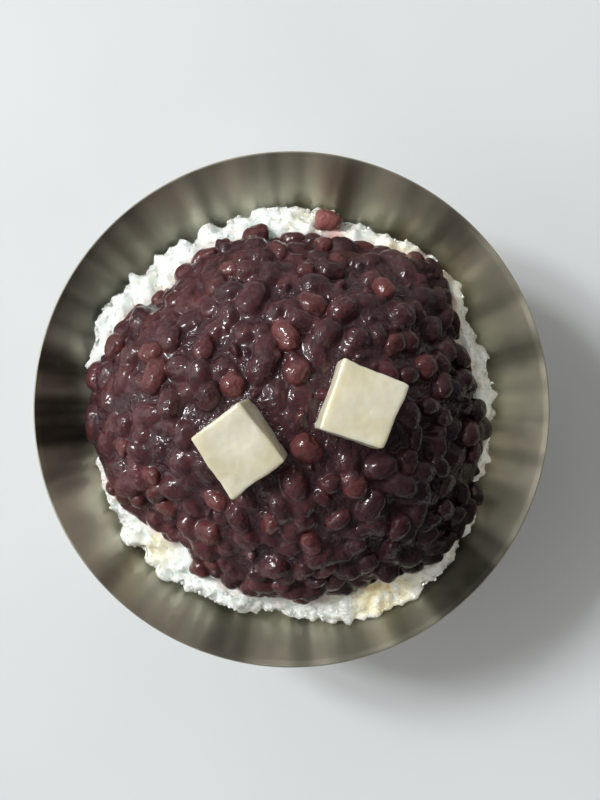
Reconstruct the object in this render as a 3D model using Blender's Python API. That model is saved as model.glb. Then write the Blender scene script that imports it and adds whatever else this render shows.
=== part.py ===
"""Patbingsu: shaved ice heaped in a flared metal bowl, under a cap of sweet red beans and two rice cakes.

Blender 4.5 script, in metres, +Z up. The origin is the middle of the bowl's foot, on the table. Seen from
above with +Y up the page, every piece lies as it was served: +X is to the right.

Pieces: bowl, shaved_ice, red_beans, rice_cake_left and rice_cake_right. Each rests on the one below it
across a gap of 0.3 mm. One bean has rolled off the heap, and is fused to the ice it lies on.
"""

import math
import random

import bmesh
import bpy
from mathutils import Euler, Matrix, Vector, noise

MM = 0.001
FULL_TURN = 2 * math.pi
GAP = 0.3 * MM

# The bowl: spun sheet, a flared cone on a low flat foot.
RIM_RADIUS = 80 * MM
BOWL_HEIGHT = 66 * MM
SHEET = 1.0 * MM
FOOT_RADIUS = 31 * MM
FOOT_HEIGHT = 3 * MM
FOOT_CHAMFER = 0.7 * MM
FLOOR_RADIUS = 30 * MM
FLOOR_HEIGHT = 3.2 * MM
FLARE = 1.15
BOWL_SIDES = 56
WALL_STEPS = 5
RIM_STEPS = 4

# The heap: a rounded dome of beans whose foot stands on the ice.
APEX_HEIGHT = 100 * MM
DOME_POWER = 2.3
DOME_ROUNDNESS = 0.75
BEAN_EDGE = [r * MM for r in (61, 59, 65, 57.5, 55.5, 59, 56, 62, 66, 64, 57, 60, 61.5, 60.5, 66, 65)]
CAP_THICKNESS = 8 * MM
PASTE_DEPTH = 3 * MM
PASTE_LIFT = 1.2 * MM
PASTE_SIDES = 26

# The ice: it fills the bowl, stands clear of the wall in a craggy bank and runs on up under the beans.
ICE_EDGE = [r * MM for r in (67.5, 63, 65, 62.5, 64, 63, 64, 69, 65.5, 66.5, 67, 67, 66, 71, 72, 67)]
ICE_SIDES = 96
ICE_UNDERCUT = 4 * MM
WALL_CLEARANCE = 0.45 * MM
LEDGE_HEIGHT = 59.5 * MM
BANK_HEIGHT = 11.5 * MM
LEDGE_SWAY = 0.35
CRAG_DEPTH = 2.6 * MM
CRAG_SIZE = 6.5 * MM

# The beans: boiled adzuki, each a rounded barrel.
BEAN_COUNT = 138
BEAN_LENGTH = (9.2 * MM, 10.9 * MM)
BEAN_ROUND = (0.66, 0.76)
BEAN_FLAT = (0.88, 1.0)
BEAN_RINGS = (-38, 38)
BEAN_SIDES = 6
BEAN_PROUD = (0.2 * MM, 1.4 * MM)
BEAN_TILT = 24
BEAN_STRAY = 0.9 * MM
AREA_STEPS = 400
LOWEST_SHARE = 0.992
GOLDEN_ANGLE = math.pi * (3 - math.sqrt(5))
SEED = 20

# The stray bean, lying on the ice behind the heap.
STRAY_PLACE = (11.4 * MM, 60.0 * MM)
STRAY_SIZE = (9.2 * MM, 6.3 * MM, 5.8 * MM)
STRAY_TURN = -8
STRAY_SUNK = 0.3
STRAY_CLEAR = 9 * MM
DROP_HEIGHT = 200 * MM

# The rice cakes: hand-cut blocks pressed a little way into the beans, leaning out from the middle.
CAKE_ROUNDING = 1.3 * MM
CAKE_UNEVEN = 0.45 * MM
CAKE_CLEAR = 2.2 * MM
CAKES = {
    "rice_cake_left": {"top": (-14.5, -10.9, 105.0), "size": (17.8, 19.6, 15.0), "turn": 35.7, "lean": 9.0},
    "rice_cake_right": {"top": (20.6, 1.2, 105.2), "size": (18.0, 19.2, 15.0), "turn": -19.8, "lean": 8.0},
}

COLOURS = {
    "bowl": ((0.62, 0.56, 0.42), 0.30, 1.0),
    "shaved_ice": ((0.90, 0.91, 0.88), 0.75, 0.0),
    "red_beans": ((0.12, 0.045, 0.045), 0.22, 0.0),
    "rice_cake": ((0.80, 0.77, 0.62), 0.40, 0.0),
}


def around(values, angle):
    """The value at an angle of an outline given at even steps round the axis, smoothly joined up."""
    count = len(values)
    place = (angle / FULL_TURN) % 1 * count
    first = int(place) % count
    share = place - int(place)
    before, low, high, after = (values[(first + k) % count] for k in (-1, 0, 1, 2))
    slope_low, slope_high = (high - before) / 2, (after - low) / 2
    rise = high - low
    cubic = slope_low + slope_high - 2 * rise
    square = 3 * rise - 2 * slope_low - slope_high
    return low + share * (slope_low + share * (square + share * cubic))


def wall_radius(height):
    """Inside radius of the bowl's wall at a height."""
    share = (height - FLOOR_HEIGHT) / (BOWL_HEIGHT - FLOOR_HEIGHT)
    return FLOOR_RADIUS + (RIM_RADIUS - SHEET - FLOOR_RADIUS) * max(share, 0) ** FLARE


def wall_height(radius):
    """Height at which the inside of the bowl's wall has a radius."""
    share = (radius - FLOOR_RADIUS) / (RIM_RADIUS - SHEET - FLOOR_RADIUS)
    return FLOOR_HEIGHT + (BOWL_HEIGHT - FLOOR_HEIGHT) * max(share, 0) ** (1 / FLARE)


def wall_levels():
    """Heights at which the bowl's wall has its rings, from the floor to the rim."""
    rise = BOWL_HEIGHT - SHEET / 2 - FLOOR_HEIGHT
    return [FLOOR_HEIGHT + rise * k / WALL_STEPS for k in range(WALL_STEPS + 1)]


def bank_foot(angle):
    """Height at which the ice leaves the bowl's wall."""
    return wall_height(around(ICE_EDGE, angle) - ICE_UNDERCUT)


def ledge_height(angle):
    """Height of the ledge of ice that the cap of beans stands on."""
    return LEDGE_HEIGHT + LEDGE_SWAY * (bank_foot(angle) + BANK_HEIGHT - LEDGE_HEIGHT)


def dome_point(share, angle, inset):
    """A point of the heap's outside, sunk by an inset; share runs from 0 at the top to 1 at its foot."""
    radius = share * (around(BEAN_EDGE, angle) - inset)
    foot = ledge_height(angle)
    height = foot + (APEX_HEIGHT - inset - foot) * max(1 - share**DOME_POWER, 0) ** DOME_ROUNDNESS
    return Vector((radius * math.cos(angle), radius * math.sin(angle), height))


def dome_normal(share, angle, inset):
    """The direction straight out of the heap at one of its points."""
    step = 0.01
    inner = dome_point(max(share - step, 0), angle, inset)
    outer = dome_point(min(share + step, 1), angle, inset)
    left = dome_point(max(share, step), angle - step, inset)
    right = dome_point(max(share, step), angle + step, inset)
    return (outer - inner).cross(right - left).normalized()


def ring(sides, place):
    """One ring of points, each at place(angle)."""
    return [place(FULL_TURN * k / sides) for k in range(sides)]


def solid_of_rings(name, bottom, rings, top):
    """A closed object through a point below, rings from the bottom up and round, and a point above."""
    mesh = bmesh.new()
    rows = [[mesh.verts.new(point) for point in row] for row in rings]
    low, high = mesh.verts.new(bottom), mesh.verts.new(top)
    sides = len(rings[0])
    for k in range(sides):
        after = (k + 1) % sides
        mesh.faces.new((low, rows[0][after], rows[0][k]))
        mesh.faces.new((high, rows[-1][k], rows[-1][after]))
        for lower, upper in zip(rows, rows[1:]):
            mesh.faces.new((lower[k], lower[after], upper[after], upper[k]))
    return finished_object(name, mesh)


def finished_object(name, mesh):
    """Puts a bmesh into the scene as an object shaded smooth but for its sharp edges."""
    data = bpy.data.meshes.new(name)
    mesh.normal_update()
    mesh.to_mesh(data)
    mesh.free()
    data.shade_smooth()
    data.set_sharp_from_angle(angle=math.radians(40))
    made = bpy.data.objects.new(name, data)
    bpy.context.scene.collection.objects.link(made)
    return made


def coloured(made, key):
    """Gives an object its plain finish."""
    colour, roughness, metallic = COLOURS[key]
    material = bpy.data.materials.get(key) or bpy.data.materials.new(key)
    material.use_nodes = True
    shader = material.node_tree.nodes["Principled BSDF"]
    shader.inputs["Base Color"].default_value = (*colour, 1)
    shader.inputs["Roughness"].default_value = roughness
    shader.inputs["Metallic"].default_value = metallic
    made.data.materials.clear()
    made.data.materials.append(material)
    return made


def bowl_profile():
    """Radius and height from the foot, up the outside, over the rounded rim and down the inside."""
    heights = wall_levels()
    foot = [
        (FOOT_RADIUS - FOOT_CHAMFER, 0),
        (FOOT_RADIUS, FOOT_CHAMFER),
        (FOOT_RADIUS, FOOT_HEIGHT),
    ]
    outside = [(wall_radius(height) + SHEET, height) for height in heights[1:]]
    inside = [(wall_radius(height), height) for height in reversed(heights[1:])]
    middle = RIM_RADIUS - SHEET / 2
    rim = []
    for k in range(1, RIM_STEPS):
        turn = math.pi * k / RIM_STEPS
        rim.append((middle + SHEET / 2 * math.cos(turn), heights[-1] + SHEET / 2 * math.sin(turn)))
    return foot + outside + rim + inside + [(FLOOR_RADIUS, FLOOR_HEIGHT + FOOT_CHAMFER)]


def make_bowl():
    """The bowl, turned from its profile."""
    rings = [
        ring(BOWL_SIDES, lambda a, r=radius, z=height: Vector((r * math.cos(a), r * math.sin(a), z)))
        for radius, height in bowl_profile()
    ]
    floor_ring = [(point * (1 - FOOT_CHAMFER / FLOOR_RADIUS)).to_2d().to_3d() for point in rings[-1]]
    rings.append([point + Vector((0, 0, FLOOR_HEIGHT)) for point in floor_ring])
    return coloured(solid_of_rings("bowl", (0, 0, 0), rings, (0, 0, FLOOR_HEIGHT)), "bowl")


def crag(point, depth):
    """How far the broken face of the ice stands out or in at a point."""
    coarse = noise.noise(point / CRAG_SIZE)
    fine = noise.noise(point / (CRAG_SIZE / 2.3) + Vector((7, 3, 5)))
    ridge = abs(noise.noise(point / (CRAG_SIZE * 0.8) + Vector((2, 9, 4))))
    return depth * (coarse + 0.6 * fine - 0.9 * ridge + 0.25)


def ice_rings(grow):
    """Rings of the ice from the bowl's floor, up its wall, over the bank and up under the beans."""

    def at(radius, height, angle):
        return Vector((radius * math.cos(angle), radius * math.sin(angle), height))

    def on_wall(height_at):
        def place(angle):
            height = height_at(angle)
            return at(wall_radius(height) - WALL_CLEARANCE, height, angle)

        return place

    def on_bank(out, up, roughness):
        """out is 1 at the ice's edge and 0 at the beans'; up is 0 at the wall and 1 at the ledge."""

        def place(angle):
            edge, beans = around(ICE_EDGE, angle), around(BEAN_EDGE, angle)
            inner = min(beans, edge - 2 * MM)
            height = bank_foot(angle) + up * (ledge_height(angle) - GAP - bank_foot(angle))
            radius = min(inner + out * (edge - inner), wall_radius(height) - 2.5 * MM)
            relief = crag(at(radius, height, angle), CRAG_DEPTH * roughness)
            radius = min(radius + relief + grow, wall_radius(height + relief) - 1.2 * MM + grow)
            return at(radius, height + 0.6 * relief + grow, angle)

        return place

    def on_ledge(share):
        return lambda angle: at(
            share * (around(BEAN_EDGE, angle) - PASTE_DEPTH), ledge_height(angle) - GAP + grow, angle
        )

    def on_dome(share):
        def place(angle):
            point = dome_point(share, angle, CAP_THICKNESS)
            return point - dome_normal(share, angle, CAP_THICKNESS) * (GAP - grow)

        return place

    floor = FLOOR_HEIGHT + GAP
    walls = [lambda angle: at(FLOOR_RADIUS - 2 * FOOT_CHAMFER, floor, angle)]
    walls += [on_wall(lambda angle, z=level: z) for level in wall_levels()[1:4]]
    walls += [on_wall(bank_foot)]
    bank = [
        on_bank(0.9, 0.18, 0.8),
        on_bank(1.0, 0.42, 1.2),
        on_bank(0.92, 0.64, 1.2),
        on_bank(0.66, 0.80, 1.1),
        on_bank(0.36, 0.91, 0.9),
        on_bank(0.08, 1.0, 0.5),
    ]
    dome = [on_dome(share) for share in (0.9, 0.7, 0.4)]
    return [ring(ICE_SIDES, place) for place in walls + bank + [on_ledge(0.97)] + dome]


def make_ice(name="shaved_ice", grow=0.0):
    """The heap of shaved ice, or a slightly grown copy of it that trims what lies on it."""
    rings = ice_rings(grow)
    top = (0, 0, APEX_HEIGHT - CAP_THICKNESS - GAP + grow)
    return coloured(solid_of_rings(name, (0, 0, FLOOR_HEIGHT + GAP), rings, top), "shaved_ice")


def cake_matrix(cake):
    """Where a rice cake stands: its top's middle is given, and it leans out from the heap's middle."""
    top = Vector(cake["top"]) * MM
    away = Vector((top.x, top.y, 0)).normalized()
    axis = Vector((0, 0, 1)).cross(away)
    lean = Matrix.Rotation(math.radians(cake["lean"]), 4, axis)
    turn = Matrix.Rotation(math.radians(cake["turn"]), 4, "Z")
    half = Vector((0, 0, cake["size"][2] * MM / 2))
    return Matrix.Translation(top) @ lean @ turn @ Matrix.Translation(-half)


def make_cake(name, cake, grow=0.0):
    """A rice cake, or a slightly grown copy of it that presses its place into the beans."""
    draw = random.Random(name)
    mesh = bmesh.new()
    bmesh.ops.create_cube(mesh, size=1)
    for corner in mesh.verts:
        corner.co = Vector(
            math.copysign(side * MM / 2 + grow + draw.uniform(-1, 1) * CAKE_UNEVEN, way)
            for side, way in zip(cake["size"], corner.co)
        )
    bmesh.ops.bevel(
        mesh, geom=list(mesh.edges), offset=CAKE_ROUNDING, offset_type="OFFSET", segments=3, profile=0.5,
        affect="EDGES",
    )
    made = coloured(finished_object(name, mesh), "rice_cake")
    made.matrix_world = cake_matrix(cake)
    return made


def make_paste():
    """The core of the cap: bean paste over the ice, with the ledge of ice as its foot."""
    underside = CAP_THICKNESS - PASTE_LIFT
    foot = [lambda a, s=share: dome_point(s, a, underside) for share in (0.7, 0.88, 0.985)]
    foot.append(lambda a: dome_point(1, a, PASTE_DEPTH + PASTE_LIFT) + Vector((0, 0, PASTE_LIFT / 2)))
    outside = [lambda a, s=share: dome_point(s, a, PASTE_DEPTH) for share in (0.99, 0.92, 0.76, 0.45)]
    rings = [ring(PASTE_SIDES, place) for place in foot + outside]
    bottom = (0, 0, APEX_HEIGHT - underside)
    top = (0, 0, APEX_HEIGHT - PASTE_DEPTH)
    return coloured(solid_of_rings("red_beans", bottom, rings, top), "red_beans")


def bean_mesh(length, breadth, thickness):
    """A low bean: a barrel with a few rounded rings, lying along X."""
    mesh = bmesh.new()
    tips = [mesh.verts.new((way * length / 2, 0, 0)) for way in (-1, 1)]
    rows = []
    for tilt in BEAN_RINGS:
        along = math.sin(math.radians(tilt))
        girth = math.cos(math.radians(tilt)) ** 0.3
        rows.append(
            [
                mesh.verts.new(
                    (
                        along * length / 2,
                        girth * breadth / 2 * math.cos(FULL_TURN * k / BEAN_SIDES),
                        girth * thickness / 2 * math.sin(FULL_TURN * k / BEAN_SIDES),
                    )
                )
                for k in range(BEAN_SIDES)
            ]
        )
    for k in range(BEAN_SIDES):
        after = (k + 1) % BEAN_SIDES
        mesh.faces.new((tips[0], rows[0][after], rows[0][k]))
        mesh.faces.new((tips[1], rows[-1][k], rows[-1][after]))
        for lower, upper in zip(rows, rows[1:]):
            mesh.faces.new((lower[k], lower[after], upper[after], upper[k]))
    return mesh


def even_shares(count):
    """Shares that part the heap's outside, from its top to its foot, into bands of equal area."""
    turns = [FULL_TURN * k / len(BEAN_EDGE) for k in range(len(BEAN_EDGE))]
    areas = [0.0]
    for k in range(AREA_STEPS):
        band = 0.0
        for angle in turns:
            inner, outer = (dome_point(step / AREA_STEPS, angle, PASTE_DEPTH) for step in (k, k + 1))
            band += (outer - inner).length * (outer + inner).to_2d().length
        areas.append(areas[-1] + band)
    step = 0
    for k in range(count):
        while areas[step + 1] < (k + 0.5) / count * areas[-1]:
            step += 1
        yield step / AREA_STEPS


def bean_places():
    """Where each bean lies: its size, its middle and its turn. A spiral spreads them evenly over the heap."""
    draw = random.Random(SEED)
    cakes = [(cake_matrix(cake).inverted(), cake["size"]) for cake in CAKES.values()]
    for k, share in enumerate(even_shares(BEAN_COUNT)):
        length = draw.uniform(*BEAN_LENGTH)
        breadth = length * draw.uniform(*BEAN_ROUND)
        size = (length, breadth, breadth * draw.uniform(*BEAN_FLAT))
        angle = k * GOLDEN_ANGLE + draw.uniform(-1, 1) * BEAN_STRAY / (share * BEAN_EDGE[0])
        share = min(share + draw.uniform(-1, 1) * BEAN_STRAY / BEAN_EDGE[0], LOWEST_SHARE)
        normal = dome_normal(share, angle, PASTE_DEPTH)
        middle = dome_point(share, angle, PASTE_DEPTH) + normal * draw.uniform(*BEAN_PROUD)
        spin = Matrix.Rotation(draw.uniform(0, FULL_TURN), 4, "Z")
        tilt = Euler([math.radians(draw.uniform(-1, 1) * BEAN_TILT) for _ in range(3)]).to_matrix().to_4x4()
        upright = normal.to_track_quat("Z", "X").to_matrix().to_4x4()
        from_stray = (middle.to_2d() - Vector(STRAY_PLACE)).length
        if from_stray > STRAY_CLEAR and not any(covered(middle, *cake) for cake in cakes):
            yield size, Matrix.Translation(middle) @ upright @ tilt @ spin


def covered(point, to_cake, size):
    """Whether a point is inside a rice cake or too near it for a bean to lie there."""
    local = to_cake @ point
    return all(abs(x) < side * MM / 2 + CAKE_CLEAR for x, side in zip(local, size))


def join(base, others, operation, name):
    """Unites or cuts an object with others by one Boolean, applies it and removes the others."""
    group = bpy.data.collections.new(name)
    bpy.context.scene.collection.children.link(group)
    for other in others:
        group.objects.link(other)
        bpy.context.scene.collection.objects.unlink(other)
    step = base.modifiers.new(name, "BOOLEAN")
    step.operand_type = "COLLECTION"
    step.collection = group
    step.operation = operation
    graph = bpy.context.evaluated_depsgraph_get()
    joined = bpy.data.meshes.new_from_object(base.evaluated_get(graph))
    base.modifiers.clear()
    base.data = joined
    for other in others:
        bpy.data.objects.remove(other)
    bpy.data.collections.remove(group)


def drop_scraps(made):
    """Keeps the largest piece of an object and deletes the loose scraps that a cut leaves."""
    mesh = bmesh.new()
    mesh.from_mesh(made.data)
    left, pieces = set(mesh.faces), []
    while left:
        piece, front = [], [left.pop()]
        while front:
            face = front.pop()
            piece.append(face)
            near = {other for edge in face.edges for other in edge.link_faces} & left
            left -= near
            front.extend(near)
        pieces.append(piece)
    scraps = [face for piece in sorted(pieces, key=len)[:-1] for face in piece]
    bmesh.ops.delete(mesh, geom=scraps, context="FACES")
    mesh.to_mesh(made.data)
    mesh.free()


def add_stray_bean(ice):
    """Drops the stray bean on the ice, sunk in by a share of its thickness, and fuses it there."""
    bpy.context.view_layer.update()
    up = Vector((0, 0, 1))
    _, ground, slope, _ = ice.ray_cast(Vector((*STRAY_PLACE, DROP_HEIGHT)), -up)
    stray = finished_object("stray_bean", bean_mesh(*STRAY_SIZE))
    upright = (slope + up).to_track_quat("Z", "X").to_matrix().to_4x4()
    turn = Matrix.Rotation(math.radians(STRAY_TURN), 4, "Z")
    middle = ground + up * STRAY_SIZE[2] * (0.5 - STRAY_SUNK)
    stray.data.transform(Matrix.Translation(middle) @ upright @ turn)
    join(ice, [stray], "UNION", "stray")


def make_beans():
    """The cap of red beans: paste with the beans fused on, trimmed to the ice and to the rice cakes."""
    cap = make_paste()
    beans = []
    for size, matrix in bean_places():
        bean = finished_object("bean", bean_mesh(*size))
        bean.data.transform(matrix)
        beans.append(bean)
    join(cap, beans, "UNION", "beans")
    bpy.context.view_layer.update()
    cutters = [make_ice("ice_cutter", GAP)]
    cutters += [make_cake(name, cake, GAP) for name, cake in CAKES.items()]
    bpy.context.view_layer.update()
    join(cap, cutters, "DIFFERENCE", "cutters")
    drop_scraps(cap)
    return coloured(cap, "red_beans")


def main():
    """Clears the scene and makes the five pieces."""
    for old in list(bpy.data.objects):
        bpy.data.objects.remove(old)
    make_bowl()
    add_stray_bean(make_ice())
    make_beans()
    for name, cake in CAKES.items():
        make_cake(name, cake)


main()
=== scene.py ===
"""Bingsu in a flared metal bowl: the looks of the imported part, for Blender 4.5.

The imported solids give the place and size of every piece. This script makes the surfaces that show: the spun
bowl, the broken snow of shaved ice, the sweet red beans in their paste and the two hand-cut rice cakes.
Lengths are in metres, +Z is up, and the origin is the middle of the bowl's foot.
"""

import logging
import math
import random
from collections.abc import Sequence
from dataclasses import dataclass, field
from enum import Enum
from itertools import combinations, product

import bpy
import numpy as np
from mathutils import Euler, Matrix, Vector, noise


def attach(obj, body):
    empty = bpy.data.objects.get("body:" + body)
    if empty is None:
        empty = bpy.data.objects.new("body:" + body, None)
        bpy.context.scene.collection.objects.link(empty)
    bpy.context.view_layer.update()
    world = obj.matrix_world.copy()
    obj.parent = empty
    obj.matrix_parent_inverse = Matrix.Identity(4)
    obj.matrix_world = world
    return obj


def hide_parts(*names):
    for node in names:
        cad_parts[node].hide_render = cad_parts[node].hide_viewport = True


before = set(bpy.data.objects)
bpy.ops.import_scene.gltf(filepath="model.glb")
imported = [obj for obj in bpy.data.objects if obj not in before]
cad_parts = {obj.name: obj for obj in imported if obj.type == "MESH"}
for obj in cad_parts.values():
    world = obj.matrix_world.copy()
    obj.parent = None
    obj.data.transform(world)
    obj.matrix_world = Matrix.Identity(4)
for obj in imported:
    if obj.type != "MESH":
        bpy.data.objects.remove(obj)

log = logging.getLogger("bingsu")

MM = 0.001
FULL_TURN = 2 * math.pi
BODY = "root"
BEAN_POWER = 2.35  # A bean is a barrel between an ellipsoid, at 2, and a box
BEAN_ROOM = 0.46  # The radius that a bean keeps clear, as a share of its half length and breadth together

Array = np.ndarray
Colour = tuple[float, float, float]


class Slot(Enum):
    """The record's material slots."""

    BOWL = "bowl"
    ICE = "shaved_ice"
    BEANS = "red_beans"
    CAKE = "rice_cake"


def unit(vectors: Array) -> Array:
    """Vectors of an array, each made one long."""
    return vectors / np.maximum(np.linalg.norm(vectors, axis=-1, keepdims=True), 1e-12)


def around(values: Sequence[float], angle: Array) -> Array:
    """A closed outline given at even steps round the axis, read smoothly at any angle.

    Args:
        values: The outline's values, counter-clockwise from +X.
        angle: Angles in radians.

    Returns:
        The value at each angle.
    """
    table = np.asarray(values)
    place = (np.asarray(angle) / FULL_TURN) % 1 * len(table)
    first = np.floor(place).astype(int)
    share = place - first
    before, low, high, after = (table[(first + step) % len(table)] for step in (-1, 0, 1, 2))
    slope_low, slope_high = (high - before) / 2, (after - low) / 2
    rise = high - low
    cubic = slope_low + slope_high - 2 * rise
    square = 3 * rise - 2 * slope_low - slope_high
    return low + share * (slope_low + share * (square + share * cubic))


def turned(radius: Array, height: Array, angle: Array) -> Array:
    """Points at a radius, a height and an angle round the bowl's axis."""
    return np.stack([radius * np.cos(angle), radius * np.sin(angle), height + 0 * radius], axis=-1)


def grain(points: Array, size: float, seed: int = 0, octaves: int = 1) -> Array:
    """Smooth noise from about -1 to 1, read at each point.

    Args:
        points: Points as rows.
        size: The size of the noise's lumps.
        seed: Picks another part of the noise.
        octaves: How many finer layers are added, each half as strong.

    Returns:
        One value for each point.
    """
    offset = Vector((3.7 * seed + 11, 5.1 * seed - 7, 1.9 * seed + 3))
    flat = points.reshape(-1, 3) / size
    if octaves == 1:
        read = [noise.noise(Vector(point) + offset) for point in flat]
    else:
        read = [noise.fractal(Vector(point) + offset, 1.0, 2.0, octaves) for point in flat]
    return np.array(read).reshape(points.shape[:-1])


def layered(points: Array, layers_mm: Sequence[tuple[float, float]], seed: int) -> Array:
    """Relief in metres, of layers of noise that each have their lumps' size and height in millimetres."""
    layers = enumerate(layers_mm, start=seed)
    return sum(height * MM * grain(points, size * MM, k) for k, (size, height) in layers)


def mesh_piece(name: str, points: Array, faces: Sequence[Sequence[int]]) -> bpy.types.Object:
    """Makes a smooth-shaded object of points and faces and links it to the scene.

    Args:
        name: The piece's name.
        points: The vertices as rows.
        faces: Rows of vertex numbers.

    Returns:
        The new object.
    """
    mesh = bpy.data.meshes.new(name)
    mesh.from_pydata(points.reshape(-1, 3).tolist(), [], [list(face) for face in faces])
    mesh.shade_smooth()
    mesh.update()
    piece = bpy.data.objects.new(name, mesh)
    bpy.context.scene.collection.objects.link(piece)
    return piece


def paint(piece: bpy.types.Object, name: str, values: Array) -> None:
    """Stores one number for each vertex of a piece, for its material to read."""
    stored = piece.data.attributes.new(name, "FLOAT", "POINT").data
    stored.foreach_set("value", values.ravel().astype(np.float32))


def wrapped_quads(rows: int, columns: int) -> list[tuple[int, int, int, int]]:
    """Quads of a grid whose columns close round on themselves, facing out when its rows run upward."""
    quads = []
    for row in range(rows - 1):
        for column in range(columns):
            after = (column + 1) % columns
            low, high = row * columns, (row + 1) * columns
            quads.append((low + column, low + after, high + after, high + column))
    return quads


def capped(rows: int, columns: int) -> list[tuple[int, ...]]:
    """Faces of a closed turned form: its quads, then fans to a point below and a point above the grid."""
    bottom, top = rows * columns, rows * columns + 1
    faces: list[tuple[int, ...]] = list(wrapped_quads(rows, columns))
    last = (rows - 1) * columns
    for column in range(columns):
        after = (column + 1) % columns
        faces.append((bottom, after, column))
        faces.append((top, last + column, last + after))
    return faces


def icosahedron() -> tuple[Array, list[tuple[int, int, int]]]:
    """Points and faces of a ball of 20 triangles, one unit in radius."""
    golden = (1 + math.sqrt(5)) / 2
    corners = [(0, a, b * golden) for a, b in product((-1, 1), repeat=2)]
    ball = unit(np.array([corner[k:] + corner[:k] for k in range(3) for corner in corners]))
    edge = 4 / math.sqrt(10 + 2 * math.sqrt(5))
    near = np.linalg.norm(ball[:, None] - ball[None], axis=2) < edge * 1.01
    faces = []
    for a, b, c in combinations(range(len(ball)), 3):
        if near[a, b] and near[b, c] and near[a, c]:
            outward = np.cross(ball[b] - ball[a], ball[c] - ball[a]) @ ball[a] > 0
            faces.append((a, b, c) if outward else (a, c, b))
    return ball, faces


@dataclass
class Joined:
    """Many small closed forms gathered into one mesh, with one number for each."""

    name: str
    points: list[Array] = field(default_factory=list)
    faces: list[tuple[int, ...]] = field(default_factory=list)
    tones: list[Array] = field(default_factory=list)
    marks: list[Array] = field(default_factory=list)
    count: int = 0

    def add(
        self, points: Array, faces: Sequence[Sequence[int]], tone: float = 0.0, mark: Array | float = 0.0
    ) -> None:
        """Adds one form, with its tone and a mark for all or for each of its points."""
        self.faces += [tuple(corner + self.count for corner in face) for face in faces]
        self.points.append(points)
        self.tones.append(np.full(len(points), tone))
        self.marks.append(np.zeros(len(points)) + mark)
        self.count += len(points)

    def piece(self) -> bpy.types.Object:
        """The forms as one object, with the attributes tone and mark."""
        made = mesh_piece(self.name, np.concatenate(self.points), self.faces)
        paint(made, "tone", np.concatenate(self.tones))
        paint(made, "mark", np.concatenate(self.marks))
        return made


class Nodes:
    """A node tree, built up one node at a time."""

    def __init__(self, tree: bpy.types.NodeTree) -> None:
        """Takes the tree that the nodes go into."""
        self.tree = tree

    def add(self, kind: str, *inputs: object, **settings: object) -> bpy.types.Node:
        """A new node with its own properties set and its first sockets fed."""
        node = self.tree.nodes.new(kind)
        for name, value in settings.items():
            setattr(node, name, value)
        for socket, value in zip(node.inputs, inputs):
            self.feed(socket, value)
        return node

    def feed(self, socket: bpy.types.NodeSocket, value: object) -> None:
        """Links a socket to another, or sets it to a number, a direction or a colour."""
        if isinstance(value, bpy.types.NodeSocket):
            self.tree.links.new(value, socket)
        elif isinstance(value, tuple) and socket.type == "RGBA":
            socket.default_value = (*value, 1.0)
        else:
            socket.default_value = value

    def spread(self, value: object, low: float, high: float, start: float = 0.0, end: float = 1.0) -> object:
        """A value's range from low to high stretched smoothly to run from start to end."""
        eased = self.add("ShaderNodeMapRange", value, low, high, start, end, interpolation_type="SMOOTHSTEP")
        return eased.outputs["Result"]

    def sum(self, operation: str, *values: object) -> object:
        """Values put together, from the first on, by a named operation of arithmetic."""
        total, *others = values
        for value in others:
            total = self.add("ShaderNodeMath", total, value, operation=operation).outputs[0]
        return total

    def along(self, place: object, way: Sequence[float]) -> object:
        """How far a place lies in a direction."""
        return self.add("ShaderNodeVectorMath", place, way, operation="DOT_PRODUCT").outputs["Value"]

    def compass(self, place: object, values: Sequence[tuple[float, float]]) -> object:
        """A value read by the way a place lies from the axis.

        Args:
            place: The socket that gives the place.
            values: Degrees from -180, counter-clockwise from +X at 0, each with its value.

        Returns:
            The socket that gives the value, eased from one to the next.
        """
        apart = self.add("ShaderNodeSeparateXYZ", place)
        turn = self.sum("ARCTAN2", apart.outputs["Y"], apart.outputs["X"])
        share = self.add("ShaderNodeMapRange", turn, -math.pi, math.pi)
        ramp = self.add("ShaderNodeValToRGB", share.outputs["Result"])
        stops = ramp.color_ramp
        stops.interpolation = "EASE"
        most = max(value for _, value in values)
        for degrees, value in (*values, (180, values[0][1])):
            at = degrees / 360 + 0.5
            stop = stops.elements[-int(at)] if at in (0, 1) else stops.elements.new(at)
            stop.color = (value / most, value / most, value / most, 1)
        return self.sum("MULTIPLY", ramp.outputs["Color"], most)


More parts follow.
